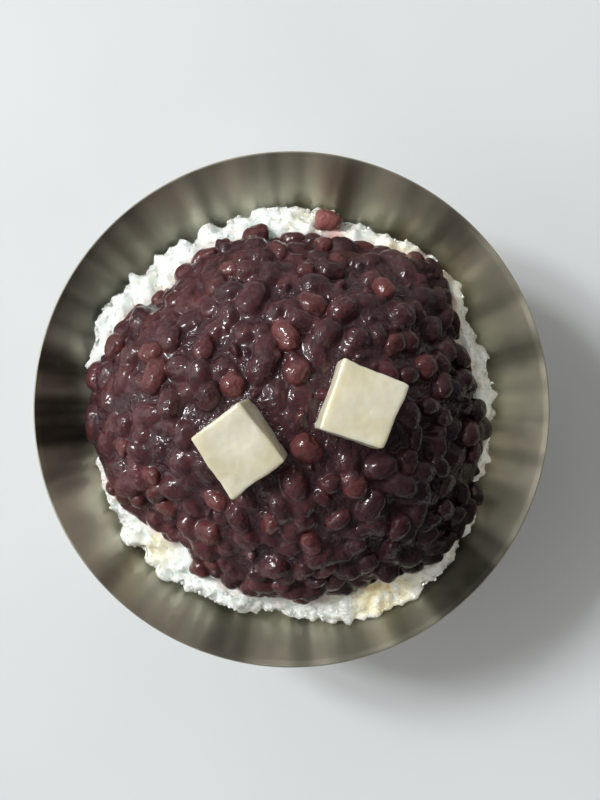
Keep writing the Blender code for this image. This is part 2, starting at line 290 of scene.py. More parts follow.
class Finish(Nodes):
    """A material's node tree, which feeds a Principled shader."""

    def __init__(self, name: str, **settings: float | Colour) -> None:
        """Starts a material.

        Args:
            name: The material's name.
            settings: The shader's own constant sockets, with _ for each space in a socket's name.
        """
        self.material = bpy.data.materials.new(name)
        self.material.use_nodes = True
        super().__init__(self.material.node_tree)
        self.shader = self.tree.nodes["Principled BSDF"]
        self.set(**settings)
        self.place = self.add("ShaderNodeTexCoord").outputs["Object"]

    def set(self, **sockets: object) -> None:
        """Feeds the shader's sockets, with _ for each space in a socket's name."""
        for socket, value in sockets.items():
            self.feed(self.shader.inputs[socket.replace("_", " ")], value)

    def grains(
        self,
        size: float,
        detail: float = 2.0,
        roughness: float = 0.5,
        warp: float = 0.0,
        place: object = None,
    ) -> object:
        """Noise with lumps of about a size, from 0 to 1, read at the object's own points or at a place."""
        node = self.add("ShaderNodeTexNoise", self.place if place is None else place)
        settings = {"Scale": 1 / size, "Detail": detail, "Roughness": roughness, "Distortion": warp}
        for socket, value in settings.items():
            self.feed(node.inputs[socket], value)
        return node.outputs["Fac"]

    def mix(self, share: object, first: object, second: object) -> object:
        """A colour between two others."""
        node = self.add("ShaderNodeMix", share, data_type="RGBA")
        self.feed(node.inputs[6], first)
        self.feed(node.inputs[7], second)
        return node.outputs[2]

    def stored(self, name: str) -> object:
        """A number that the mesh holds for each of its vertices."""
        return self.add("ShaderNodeAttribute", attribute_name=name).outputs["Fac"]

    def relief(self, height: object, depth: float, under: object = None) -> object:
        """A bump of a depth in metres, over another if one is given."""
        node = self.add("ShaderNodeBump")
        self.feed(node.inputs["Height"], height)
        self.feed(node.inputs["Distance"], depth)
        if under is not None:
            self.feed(node.inputs["Normal"], under)
        return node.outputs["Normal"]


@dataclass(frozen=True)
class SpunMetal:
    """Satin metal, pale brass in colour, with the fine rings that a lathe leaves, and painted reflections
    inside: its colour darkens and lightens by bearing round the axis and in radial streaks.
    """

    # tint is the bright end and shade the dark end of the colour; inside, the dark end also serves as painted
    # dark reflection.
    tint: Colour = (1.0, 0.955, 0.77)
    shade: Colour = (0.11, 0.107, 0.08)
    roughness: float = 0.33
    brushing: float = 1.0
    across: float = 0.25
    painted_streaks: float = 6.0
    painted_streak_strength: float = 0.28
    patch_size: float = 14 * MM
    patch_strength: float = 0.035
    outside: float = 0.62
    # Painted reflection: for each bearing in degrees, the share between shade and tint that the inner wall's
    # colour takes, standing in for what the wall mirrors.
    tone_and_painted_reflection: tuple[tuple[float, float], ...] = (
        (-180, 0.04), (-169, 0.25), (-158, 0.98), (-135, 0.66), (-110, 0.62), (-90, 0.70), (-65, 0.55),
        (-45, 0.28), (-26, 0.36), (-14, 0.68), (-4, 0.95), (8, 1.0), (15, 0.34), (25, 0.80), (40, 0.85),
        (50, 0.34), (62, 0.66), (90, 0.60), (108, 0.62), (130, 0.26), (142, 0.17), (160, 0.40), (171, 0.08),
    )
    wear_size: float = 5 * MM
    ring_width: float = 0.11 * MM
    ring_depth: float = 0.012 * MM

    def material(self) -> bpy.types.Material:
        """The finish as a material, brushed round the bowl's axis."""
        finish = Finish(
            "spun_metal",
            Metallic=1.0,
            Anisotropic=self.brushing,
            Anisotropic_Rotation=self.across,
        )
        apart = finish.add("ShaderNodeSeparateXYZ", finish.place)
        level = finish.add("ShaderNodeCombineXYZ", apart.outputs["X"], apart.outputs["Y"]).outputs[0]
        outward = finish.add("ShaderNodeVectorMath", level, operation="NORMALIZE").outputs[0]
        # Painted reflection streaks: radial noise that lightens and darkens the inner wall's colour.
        painted_streaks = finish.grains(1 / self.painted_streaks, detail=1.5, place=outward)
        painted_streak_shift = finish.spread(painted_streaks, 0.34, 0.66, -self.painted_streak_strength, self.painted_streak_strength)
        spots = finish.grains(self.patch_size, detail=3.0)
        patches = finish.spread(spots, 0.3, 0.7, -self.patch_strength, self.patch_strength)
        # Only the inside gets the painted reflections; the outside keeps an even share, with random patches
        # of tone.
        painted_reflection_share = finish.sum("ADD", finish.compass(finish.place, self.tone_and_painted_reflection), painted_streak_shift, -self.outside)
        inside = finish.sum("MULTIPLY", painted_reflection_share, finish.stored("inside"))
        tone_and_painted_reflection = finish.sum("ADD", inside, self.outside, patches)
        finish.set(Base_Color=finish.mix(tone_and_painted_reflection, self.shade, self.tint))
        wear = finish.grains(self.wear_size, detail=4.0)
        finish.set(Roughness=finish.spread(wear, 0.3, 0.75, self.roughness - 0.03, self.roughness + 0.05))
        rings = finish.add("ShaderNodeTexNoise", noise_dimensions="1D")
        finish.feed(rings.inputs["W"], apart.outputs["Z"])
        finish.feed(rings.inputs["Scale"], 1 / self.ring_width)
        finish.set(Normal=finish.relief(rings.outputs["Fac"], self.ring_depth))
        return finish.material


@dataclass(frozen=True)
class Snow:
    """Shaved ice: white, soft and scattering, creamed with milk in places and stained pink by a bean."""

    white: Colour = (0.80, 0.845, 0.80)
    cream: Colour = (0.86, 0.76, 0.47)
    stain: Colour = (0.82, 0.42, 0.38)
    depth: float = 4.5 * MM

    def material(self) -> bpy.types.Material:
        """The finish as a material that reads the attributes cream and stain."""
        finish = Finish(
            "snow",
            Roughness=0.6,
            IOR=1.31,
            Subsurface_Weight=1.0,
            Subsurface_Scale=self.depth,
            Subsurface_Radius=(0.9, 1.0, 1.05),
        )
        pools = finish.spread(finish.grains(5 * MM), 0.32, 0.55)
        creamed = finish.mix(finish.sum("MULTIPLY", finish.stored("cream"), pools), self.white, self.cream)
        finish.set(Base_Color=finish.mix(finish.stored("stain"), creamed, self.stain))
        finish.set(Normal=finish.relief(finish.grains(0.6 * MM, detail=1.0), 0.11 * MM))
        return finish.material


@dataclass(frozen=True)
class PaintedRightShade:
    """Painted shade on the heap's right, the side away from the window: paste and beans alike darken towards
    near black along a direction.
    """

    colour: Colour = (0.012, 0.005, 0.008)
    way: tuple[float, float, float] = (0.94, -0.34, 0.0)
    span: tuple[float, float] = (12 * MM, 50 * MM)
    strength: float = 0.72
    shine: float = 0.55

    def over(self, finish: Finish, dry: object) -> object:
        """Darkens a colour with the painted shade along the way, and dulls the finish's coat there."""
        along = finish.along(finish.place, self.way)
        finish.set(Coat_Weight=finish.spread(along, *self.span, 1.0, self.shine))
        return finish.mix(finish.spread(along, *self.span, 0.0, self.strength), dry, self.colour)


@dataclass(frozen=True)
class BeanPaste:
    """Purple-brown paste and syrup, wet and lumpy, redder where it is a film over a bean."""

    paste: Colour = (0.044, 0.0165, 0.0205)
    film: Colour = (0.104, 0.029, 0.031)
    painted_right_shade: PaintedRightShade = PaintedRightShade()

    def material(self) -> bpy.types.Material:
        """The finish as a material that reads the attributes film, tone and join."""
        finish = Finish(
            "bean_paste",
            IOR=1.42,
            Subsurface_Weight=0.2,
            Subsurface_Scale=1.0 * MM,
            Subsurface_Radius=(1.0, 0.35, 0.3),
            Coat_Roughness=0.015,
            Coat_IOR=1.38,
            Specular_IOR_Level=0.15,
        )
        mottle = finish.spread(finish.grains(2.2 * MM, detail=4.0, roughness=0.65), 0.3, 0.72, -0.26, 0.26)
        reddened = finish.sum("MULTIPLY", finish.stored("film"), finish.stored("tone"))
        share = finish.spread(finish.sum("ADD", reddened, mottle), 0.0, 1.0)
        # The colour is darkened by the painted shade on the heap's right.
        finish.set(Base_Color=self.painted_right_shade.over(finish, finish.mix(share, self.paste, self.film)))
        finish.set(Roughness=finish.spread(finish.grains(1.7 * MM, detail=3.0), 0.35, 0.7, 0.3, 0.55))
        dry = finish.spread(finish.grains(11 * MM, detail=1.0), 0.50, 0.62, 1.0, 0.12)
        apart = finish.spread(finish.stored("join"), 0.15, 0.45, 1.0, 0.15)
        covered = finish.spread(finish.stored("film"), 0.3, 1.0, 1.0, 0.5)
        lumpy = finish.sum("MULTIPLY", dry, apart, covered)
        pulp = finish.sum("ADD", finish.grains(1.5 * MM, detail=1.0, roughness=0.45, warp=0.5), -0.5)
        specks = finish.relief(finish.grains(0.6 * MM, detail=0.0), 0.02 * MM)
        lumps = finish.relief(finish.sum("MULTIPLY", pulp, lumpy), 0.9 * MM, specks)
        finish.set(Normal=lumps, Coat_Normal=lumps)
        return finish.material


@dataclass(frozen=True)
class BeanSkin:
    """The glossy skin of a boiled red bean, from dark purple-brown to brick red, with its pale seed scar."""

    dark: Colour = (0.036, 0.013, 0.016)
    red: Colour = (0.142, 0.041, 0.039)
    scar: Colour = (0.30, 0.17, 0.14)
    painted_right_shade: PaintedRightShade = PaintedRightShade()

    def material(self) -> bpy.types.Material:
        """The finish as a material that reads the attributes tone and mark."""
        finish = Finish(
            "bean_skin",
            Roughness=0.3,
            IOR=1.42,
            Subsurface_Weight=0.25,
            Subsurface_Scale=1.2 * MM,
            Subsurface_Radius=(1.0, 0.3, 0.22),
            Coat_Roughness=0.02,
            Coat_IOR=1.38,
            Specular_IOR_Level=0.15,
        )
        mottle = finish.spread(finish.grains(2.2 * MM, detail=4.0, roughness=0.6), 0.3, 0.7, -0.15, 0.15)
        share = finish.spread(finish.sum("ADD", finish.stored("tone"), mottle), 0.0, 1.0)
        # The colour is darkened by the painted shade on the heap's right.
        skin = self.painted_right_shade.over(finish, finish.mix(share, self.dark, self.red))
        finish.set(Base_Color=finish.mix(finish.stored("mark"), skin, self.scar))
        folds = finish.relief(finish.grains(1.8 * MM, detail=1.0, roughness=0.45, warp=0.5), 0.42 * MM)
        finish.set(Normal=folds, Coat_Normal=folds)
        return finish.material


@dataclass(frozen=True)
class RiceCakeFlesh:
    """Ivory rice cake, dense and smooth, a little clear at its edges."""

    ivory: Colour = (0.625, 0.57, 0.405)
    pale: Colour = (0.69, 0.655, 0.52)

    def material(self) -> bpy.types.Material:
        """The finish as a material."""
        finish = Finish(
            "rice_cake_flesh",
            IOR=1.42,
            Subsurface_Weight=0.8,
            Subsurface_Scale=3.4 * MM,
            Subsurface_Radius=(1.0, 0.85, 0.6),
            Coat_Weight=0.6,
            Coat_Roughness=0.18,
        )
        cloud = finish.grains(9 * MM, detail=2.0)
        finish.set(Base_Color=finish.mix(finish.spread(cloud, 0.35, 0.65), self.ivory, self.pale))
        finish.set(Roughness=finish.spread(finish.grains(3 * MM), 0.3, 0.7, 0.36, 0.5))
        finish.set(Normal=finish.relief(finish.grains(1.6 * MM, detail=2.0), 0.09 * MM))
        return finish.material


@dataclass(frozen=True)
class TableTop:
    """A pale table with a painted falloff of light: its colour greys further off, so that little of it shows
    on the sides of wet beans.
    """

    tone: Colour = (0.76, 0.78, 0.79)
    painted_falloff_grey: Colour = (0.36, 0.363, 0.367)
    pale_to: float = 210 * MM
    grey_from: float = 650 * MM

    def material(self) -> bpy.types.Material:
        """The finish as a material."""
        finish = Finish("table_top", Roughness=0.6)
        cloud = finish.grains(90 * MM)
        darker = tuple(0.97 * part for part in self.tone)
        near = finish.mix(finish.spread(cloud, 0.3, 0.7), self.tone, darker)
        away = finish.add("ShaderNodeVectorMath", finish.place, operation="LENGTH").outputs["Value"]
        # Painted falloff of light: the colour greys from pale_to to grey_from away from the bowl's axis.
        faded = finish.spread(away, self.pale_to, self.grey_from)
        finish.set(Base_Color=finish.mix(faded, near, self.painted_falloff_grey))
        return finish.material


@dataclass(frozen=True)
class Mound:
    """The form that bowl, ice and beans share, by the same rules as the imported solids."""

    rim_radius: float = 80 * MM
    bowl_height: float = 66 * MM
    sheet: float = 1.0 * MM
    floor_radius: float = 30 * MM
    floor_height: float = 3.2 * MM
    flare: float = 1.15
    apex_height: float = 100 * MM
    dome_power: float = 2.3
    dome_roundness: float = 0.75
    bean_edge_mm: tuple[float, ...] = (
        61, 59, 65, 57.5, 55.5, 59, 56, 62, 66, 64, 57, 60, 61.5, 60.5, 66, 65,
    )
    ice_edge_mm: tuple[float, ...] = (
        65, 63, 65, 63.5, 65, 63.5, 65, 69, 61.5, 65, 67, 67, 66, 71, 70.5, 63.5,
    )
    paste_depth: float = 3 * MM
    ice_undercut: float = 4 * MM
    ledge: float = 59.5 * MM
    bank_height: float = 11.5 * MM
    ledge_sway: float = 0.35

    def wall_radius(self, height: Array) -> Array:
        """Inside radius of the bowl's wall at each height."""
        share = (height - self.floor_height) / (self.bowl_height - self.floor_height)
        widening = self.rim_radius - self.sheet - self.floor_radius
        return self.floor_radius + widening * np.maximum(share, 0) ** self.flare

    def wall_height(self, radius: Array) -> Array:
        """Height at which the inside of the bowl's wall has each radius."""
        share = (radius - self.floor_radius) / (self.rim_radius - self.sheet - self.floor_radius)
        rise = np.maximum(share, 0) ** (1 / self.flare)
        return self.floor_height + (self.bowl_height - self.floor_height) * rise

    def bean_edge(self, angle: Array) -> Array:
        """Radius of the foot of the beans."""
        return around(self.bean_edge_mm, angle) * MM

    def ice_edge(self, angle: Array) -> Array:
        """Radius of the ice's broken edge."""
        return around(self.ice_edge_mm, angle) * MM

    def bank_foot(self, angle: Array) -> Array:
        """Height at which the ice leaves the bowl's wall."""
        return self.wall_height(self.ice_edge(angle) - self.ice_undercut)

    def ledge_height(self, angle: Array) -> Array:
        """Height of the ledge of ice that the beans stand on."""
        return self.ledge + self.ledge_sway * (self.bank_foot(angle) + self.bank_height - self.ledge)

    def dome(self, share: Array, angle: Array, inset: float) -> Array:
        """Points of the heap's outside, sunk by an inset.

        Args:
            share: 0 at the top and 1 at the heap's foot.
            angle: Angles round the axis.
            inset: How deep under the outside the points lie.

        Returns:
            The points as rows.
        """
        foot = self.ledge_height(angle)
        rise = np.maximum(1 - share**self.dome_power, 0) ** self.dome_roundness
        height = foot + (self.apex_height - inset - foot) * rise
        return turned(share * (self.bean_edge(angle) - inset), height, angle)

    def dome_normal(self, share: Array, angle: Array, inset: float) -> Array:
        """Directions straight out of the heap."""
        step = 0.01
        inner = self.dome(np.maximum(share - step, 0), angle, inset)
        outer = self.dome(np.minimum(share + step, 1), angle, inset)
        wide = np.maximum(share, step)
        left, right = self.dome(wide, angle - step, inset), self.dome(wide, angle + step, inset)
        return unit(np.cross(outer - inner, right - left))

    def nearest(self, place: Array) -> tuple[Array, Array]:
        """Share and angle of the heap's point over or under each place."""
        angle = np.arctan2(place[..., 1], place[..., 0])
        radius = np.hypot(place[..., 0], place[..., 1])
        return radius / (self.bean_edge(angle) - self.paste_depth), angle


def dress(piece: bpy.types.Object, material: bpy.types.Material, slot: Slot, *nodes: str) -> bpy.types.Object:
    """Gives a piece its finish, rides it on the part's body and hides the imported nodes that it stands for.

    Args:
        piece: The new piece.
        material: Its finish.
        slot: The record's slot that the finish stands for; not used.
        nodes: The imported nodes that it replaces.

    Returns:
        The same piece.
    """
    piece.data.materials.clear()
    piece.data.materials.append(material)
    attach(piece, BODY)
    if nodes:
        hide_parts(*nodes)
    log.info("%s: %d vertices, %d faces", piece.name, len(piece.data.vertices), len(piece.data.polygons))
    return piece


@dataclass
class Bowl:
    """The flared bowl, spun from thin sheet on a low flat foot."""

    mound: Mound
    sides: int = 288
    wall_steps: int = 60
    rim_steps: int = 8
    foot_radius: float = 31 * MM
    foot_height: float = 3 * MM
    chamfer: float = 0.7 * MM
    rim_middle: float = 79.35 * MM

    def profile(self) -> Array:
        """Radius and height from the foot, up the outside, over the rounded rim and down the inside."""
        mound = self.mound
        top = mound.bowl_height - mound.sheet / 2
        heights = np.linspace(mound.floor_height, top, self.wall_steps + 1)[1:]
        outside = np.stack([mound.wall_radius(heights) + mound.sheet, heights], axis=1)
        inside = np.stack([mound.wall_radius(heights), heights], axis=1)[::-1]
        turn = np.linspace(0, math.pi, self.rim_steps + 1)[1:-1]
        bead = mound.sheet / 2
        rim = np.stack([self.rim_middle + bead * np.cos(turn), top + bead * np.sin(turn)], axis=1)
        foot = np.array(
            [
                (self.foot_radius - self.chamfer, 0),
                (self.foot_radius - 0.3 * self.chamfer, 0.1 * self.chamfer),
                (self.foot_radius, self.chamfer),
                (self.foot_radius, self.foot_height),
            ]
        )
        floor = np.array(
            [
                (mound.floor_radius, mound.floor_height + self.chamfer),
                (mound.floor_radius - self.chamfer, mound.floor_height),
            ]
        )
        return np.concatenate([foot, outside, rim, inside, floor])

    def build(self) -> bpy.types.Object:
        """Turns the profile into the bowl and gives it its finish."""
        profile = self.profile()
        angle = np.linspace(0, FULL_TURN, self.sides, endpoint=False)
        radius = np.repeat(profile[:, :1], self.sides, axis=1)
        height = np.repeat(profile[:, 1:], self.sides, axis=1)
        points = turned(radius, height, angle[None, :])
        ends = np.array([(0, 0, 0), (0, 0, self.mound.floor_height)])
        points = np.concatenate([points.reshape(-1, 3), ends])
        piece = mesh_piece("spun_bowl", points, capped(len(profile), self.sides))
        piece.data.set_sharp_from_angle(angle=math.radians(50))
        turned_in = np.arange(len(profile)) > len(profile) / 2
        paint(piece, "inside", np.append(np.repeat(turned_in, self.sides), (False, True)).astype(float))
        return dress(piece, SpunMetal().material(), Slot.BOWL, "bowl")


@dataclass
class ShavedIce:
    """The ice that fills the bowl: a broken bank round the beans, with loose flakes over it."""

    mound: Mound
    columns: int = 880
    rows: int = 84
    crag_depth: float = 2.6 * MM
    crag_size: float = 6.5 * MM
    flakes: int = 2600
    flake_size: tuple[float, float] = (0.8 * MM, 2.2 * MM)
    seed: int = 5
    profile: tuple[tuple[float, float, float], ...] = (
        (0.30, -0.16, 0.0),
        (0.62, 0.0, 0.3),
        (0.9, 0.18, 0.8),
        (1.0, 0.42, 1.2),
        (0.92, 0.64, 1.2),
        (0.66, 0.80, 1.1),
        (0.36, 0.91, 0.9),
        (0.08, 1.0, 0.6),
        (-0.4, 1.0, 0.4),
        (-1.2, 1.0, 0.0),
    )
    cream_places_mm: tuple[tuple[float, float, float, float], ...] = (
        (28, -58, 16, 1.0),
        (-43, -43, 8, 0.8),
        (33, 50, 10, 0.7),
        (45, 38, 10, 0.9),
        (8, 62, 14, 0.35),
        (-40, 40, 12, 0.2),
    )
    stain_place_mm: tuple[float, float, float] = (13.5, 54.5, 3.4)
    crumbs_mm: tuple[tuple[float, float], ...] = ((2.8, 0.75), (1.3, 0.42), (0.7, 0.30))

    def base(self, along: Array, angle: Array) -> tuple[Array, Array]:
        """The bank's smooth surface.

        Args:
            along: 0 at the bowl's wall and 1 under the beans.
            angle: Angles round the axis.

        Returns:
            The points, and how broken the surface is at each.
        """
        mound = self.mound
        steps = np.linspace(0, 1, len(self.profile))
        out, up, broken = (np.interp(along, steps, column) for column in zip(*self.profile))
        edge, beans = mound.ice_edge(angle), mound.bean_edge(angle)
        inner = np.minimum(beans, edge - 2 * MM)
        foot = mound.bank_foot(angle)
        height = foot + up * (mound.ledge_height(angle) - foot)
        radius = inner + out * (edge - inner)
        radius = np.minimum(radius, mound.wall_radius(height) - 0.5 * MM - 2 * MM * np.clip(broken, 0, 1))
        return turned(radius, height, angle), broken

    def crag(self, points: Array) -> Array:
        """How far the broken face stands out or in, as a share of its depth."""
        coarse = grain(points, self.crag_size, 1)
        fine = grain(points, self.crag_size / 2.3, 2)
        ridge = np.abs(grain(points, self.crag_size * 0.8, 3))
        return coarse + 0.6 * fine - 0.6 * ridge + 0.15

    def surface(self) -> tuple[Array, Array, Array]:
        """Points, directions out and roughness of the whole bank, by rows and columns."""
        along = np.linspace(0, 1, self.rows)[:, None]
        angle = np.linspace(0, FULL_TURN, self.columns, endpoint=False)[None, :]
        along, angle = np.broadcast_arrays(along, angle)
        points, broken = self.base(along, angle)
        up = np.gradient(points, axis=0)
        sideways = np.roll(points, -1, axis=1) - np.roll(points, 1, axis=1)
        out = unit(np.cross(sideways, up))
        crumbs = np.clip(broken, 0, 1) * layered(points, self.crumbs_mm, seed=4)
        points = points + out * (self.crag_depth * broken * self.crag(points) + crumbs)[..., None]
        radius = np.hypot(points[..., 0], points[..., 1])
        limit = self.mound.wall_radius(points[..., 2]) - 0.3 * MM
        shrink = np.minimum(limit / np.maximum(radius, 1e-9), 1)
        points[..., :2] *= shrink[..., None]
        return points, out, broken

    def build(self) -> list[bpy.types.Object]:
        """Makes the ice's mass and its flakes, and gives them their finishes."""
        bank, out, broken = self.surface()
        angle = np.linspace(0, FULL_TURN, self.columns, endpoint=False)
        foot = self.mound.bank_foot(angle)
        walls = []
        for share in (0.0, 0.4, 0.75):
            height = self.mound.floor_height + 0.3 * MM + share * (foot - self.mound.floor_height)
            walls.append(turned(self.mound.wall_radius(height) - 0.5 * MM, height, angle))
        rows = np.concatenate([np.array(walls), bank])
        ends = np.array([(0, 0, rows[0, 0, 2]), (0, 0, self.mound.ledge)])
        points = np.concatenate([rows.reshape(-1, 3), ends])
        piece = mesh_piece("snow_bank", points, capped(len(rows), self.columns))
        self.colour(piece)
        dress(piece, Snow().material(), Slot.ICE, "shaved_ice")
        flakes = self.scatter(bank, out, broken)
        self.colour(flakes)
        loose = Snow(white=(0.86, 0.895, 0.855), depth=0.8 * MM)
        dress(flakes, loose.material(), Slot.ICE, "shaved_ice")
        return [piece, flakes]

    def colour(self, piece: bpy.types.Object) -> None:
        """Stores where the milk has creamed the ice and where a bean has stained it."""
        points = np.array([vertex.co for vertex in piece.data.vertices])
        cream = np.zeros(len(points))
        for x, y, reach, strength in self.cream_places_mm:
            away = np.hypot(points[:, 0] - x * MM, points[:, 1] - y * MM) / (reach * MM)
            cream += strength * np.exp(-(away**2) * 2)
        x, y, reach = self.stain_place_mm
        away = np.hypot(points[:, 0] - x * MM, points[:, 1] - y * MM) / (reach * MM)
        angle = np.arctan2(points[:, 1], points[:, 0])
        outward = np.maximum(np.hypot(points[:, 0], points[:, 1]) - self.mound.bean_edge(angle), 0)
        soaked = 0.22 * np.exp(-((outward / (1.2 * MM)) ** 2)) * (grain(points, 4 * MM, 8) > 0)
        paint(piece, "cream", np.clip(cream, 0, 1))
        paint(piece, "stain", np.maximum(0.85 * np.exp(-(away**2)), soaked))

    def scatter(self, bank: Array, out: Array, broken: Array) -> bpy.types.Object:
        """Loose grains and flakes on the bank, most where it is most broken."""
        draw = np.random.default_rng(self.seed)
        weight = (np.clip(broken, 0, 1.2) ** 2).ravel()
        chosen = draw.choice(len(weight), self.flakes, replace=False, p=weight / weight.sum())
        feet, outward = bank.reshape(-1, 3)[chosen], out.reshape(-1, 3)[chosen]
        gathered = Joined("snow_flakes")
        ball, faces = icosahedron()
        for foot, normal in zip(feet, outward):
            size = draw.uniform(*self.flake_size) * draw.uniform(0.6, 1)
            stretch = draw.uniform(0.45, 1.0, 3) * size / 2
            turn = np.array(Euler(draw.uniform(0, FULL_TURN, 3)).to_matrix())
            points = (ball * draw.uniform(0.75, 1.2, (len(ball), 1)) * stretch) @ turn.T
            gathered.add(points + foot - normal * size * draw.uniform(0.0, 0.25), faces)
        return gathered.piece()


@dataclass
class RiceCake:
    """One hand-cut rice cake, leaning out from the middle of the heap."""

    node: str
    top_mm: tuple[float, float, float]
    size_mm: tuple[float, float, float]
    turn: float
    lean: float
    finish: RiceCakeFlesh
    rounding: float = 0.85 * MM
    uneven: float = 0.7 * MM
    swells_mm: tuple[tuple[float, float], ...] = ((7, 0.45), (1.8, 0.11))
    steps: int = 34

    def matrix(self) -> Matrix:
        """Where the cake's middle stands."""
        top = Vector(self.top_mm) * MM
        axis = Vector((0, 0, 1)).cross(Vector((top.x, top.y, 0)).normalized())
        lean = Matrix.Rotation(math.radians(self.lean), 4, axis)
        turn = Matrix.Rotation(math.radians(self.turn), 4, "Z")
        return Matrix.Translation(top) @ lean @ turn @ Matrix.Translation((0, 0, -self.size_mm[2] * MM / 2))

    def depth(self, points: Array) -> Array:
        """Distance outside the cake's block at each point, negative inside."""
        inverse = np.array(self.matrix().inverted())
        local = np.abs(points @ inverse[:3, :3].T + inverse[:3, 3]) - np.array(self.size_mm) * MM / 2
        outside = np.linalg.norm(np.maximum(local, 0), axis=-1)
        return outside + np.minimum(local.max(axis=-1), 0)

    def corners(self) -> dict[tuple[int, int, int], Array]:
        """The block's corners in its own frame, each a little off as cut by hand."""
        draw = random.Random(self.node)
        found = {}
        for signs in product((-1, 1), repeat=3):
            half = [size * MM / 2 + draw.uniform(-1, 1) * self.uneven for size in self.size_mm]
            found[signs] = np.array(half) * signs
        return found

    def cube(self) -> tuple[Array, list[tuple[int, ...]]]:
        """A cube from -1 to 1 with a fine grid on each side."""
        line = np.linspace(-1, 1, self.steps)
        points, faces = [], []
        for axis, way in product(range(3), (-1, 1)):
            first = len(points)
            for a, b in product(line, line):
                point = [0.0, 0.0, 0.0]
                point[axis], point[(axis + 1) % 3], point[(axis + 2) % 3] = way, a, b
                points.append(point)
            for row, column in product(range(self.steps - 1), repeat=2):
                k = first + row * self.steps + column
                quad = (k, k + self.steps, k + self.steps + 1, k + 1)
                faces.append(quad if way > 0 else quad[::-1])
        return np.array(points), faces

    def build(self) -> bpy.types.Object:
        """A soft-edged block with slightly swollen, uneven sides."""
        cube, faces = self.cube()
        half = np.array(self.size_mm) * MM / 2
        core = np.clip(cube * half, self.rounding - half, half - self.rounding)
        way = unit(cube * half - core)
        share = (core + way * self.rounding) / half
        points = np.zeros_like(share)
        for (x, y, z), corner in self.corners().items():
            weight = (1 + x * share[:, 0]) * (1 + y * share[:, 1]) * (1 + z * share[:, 2]) / 8
            points += weight[:, None] * corner
        matrix = np.array(self.matrix())
        points = points @ matrix[:3, :3].T + matrix[:3, 3]
        points = points + (way @ matrix[:3, :3].T) * layered(points, self.swells_mm, seed=31)[:, None]
        piece = mesh_piece(self.node.replace("rice_cake", "cake"), points, faces)
        weld = piece.modifiers.new("weld", "WELD")
        weld.merge_threshold = 0.001 * MM
        return dress(piece, self.finish.material(), Slot.CAKE, self.node)


@dataclass(frozen=True)
class Picture:
    """The camera's place and lens, and how points of its picture meet the dish."""

    eye: tuple[float, float, float] = (2.6 * MM, 2.9 * MM, 416 * MM)
    lens: float = 51.0
    sensor: float = 36.0
    wide: int = 600
    high: int = 800

    def scale(self, height: float) -> float:
        """Picture points to a metre at a height."""
        return self.lens / self.sensor * self.high / (self.eye[2] - height)

    def place(self, x: float, y: float, height: float) -> Array:
        """Where a point of the picture, counted from its upper left, lies at a height."""
        aside = np.array([x - self.wide / 2, self.high / 2 - y])
        return np.array(self.eye[:2]) + aside / self.scale(height)


class Coat(Enum):
    """How much of a bean shows."""

    BARE = "bare"
    FILM = "film"
    CRUMB = "crumb"


@dataclass(frozen=True)
class Bean:
    """One boiled red bean: where it lies, its turn, its half sizes and its tone."""

    place: Array
    turn: Array
    half: Array
    tone: float
    coat: Coat

    @property
    def radius(self) -> float:
        """About how much room it takes round its middle."""
        return BEAN_ROOM * (self.half[0] + self.half[1])


@dataclass(frozen=True)
class BeanForm:
    """A boiled bean along X: a rounded barrel, a little bent and dented, with its scar on one side.

    Its dents have a size and a range of heights in millimetres. The rest is in half sizes of the bean.
    """

    rings: int = 17
    sides: int = 22
    scar: tuple[float, float] = (0.30, 0.13)
    hollow: tuple[float, float, float] = (0.4, 0.25, 0.06)
    bow: tuple[float, float] = (-0.12, 0.07)
    sag: tuple[float, float] = (-0.09, 0.09)
    taper: tuple[float, float] = (-0.14, 0.14)
    dents_mm: tuple[tuple[float, float, float], ...] = ((3.4, 0.35, 0.9), (1.3, 0.08, 0.22))

    def grow(self, half: Array, draw: np.random.Generator) -> tuple[Array, list[tuple[int, ...]], Array]:
        """One bean.

        Args:
            half: Half its length, breadth and thickness.
            draw: The random draw for its bend and dents.

        Returns:
            Its points, its faces and the mark of its scar at each point.
        """
        power = 2 / BEAN_POWER
        tilt = np.linspace(-math.pi / 2, math.pi / 2, self.rings + 2)[1:-1]
        turn = np.linspace(0, FULL_TURN, self.sides, endpoint=False)
        girth = np.cos(tilt)[:, None] ** power
        x = np.repeat((np.sign(tilt) * np.abs(np.sin(tilt)) ** power)[:, None], self.sides, axis=1)
        y = girth * (np.sign(np.cos(turn)) * np.abs(np.cos(turn)) ** power)
        z = girth * (np.sign(np.sin(turn)) * np.abs(np.sin(turn)) ** power)
        form = np.concatenate([np.stack([x, y, z], axis=-1).reshape(-1, 3), [(-1, 0, 0), (1, 0, 0)]])
        front = form[:, 1] > 0.3
        long, wide = self.scar
        scar = np.exp(-((form[:, 0] / long) ** 4)) * np.exp(-((form[:, 2] / wide) ** 2)) * front
        long, wide, depth = self.hollow
        dip = np.exp(-((form[:, 0] / long) ** 2)) * np.exp(-((form[:, 2] / wide) ** 2)) * front
        form[:, 1] -= depth * dip
        form[:, 1] += draw.uniform(*self.bow) * form[:, 0] ** 2
        form[:, 2] += draw.uniform(*self.sag) * form[:, 0] ** 2
        form[:, 1:] *= 1 + draw.uniform(*self.taper) * form[:, :1]
        points, shift, dents = form * half, draw.uniform(-1, 1, 3), np.zeros(len(form))
        for seed, (size, low, high) in enumerate(self.dents_mm, start=21):
            dents += grain(points + shift, size * MM, seed) * draw.uniform(low, high) * MM
        return points + unit(form) * dents[:, None], capped(self.rings, self.sides), scar


@dataclass(frozen=True)
class Lead:
    """A bean that stands out, as the camera sees it.

    Its place and size are in picture points, its slant in degrees from the picture's right toward its top,
    and its tone runs from dark to red.
    """

    x: float
    y: float
    long: float
    wide: float
    slant: float
    tone: float
    bare: bool


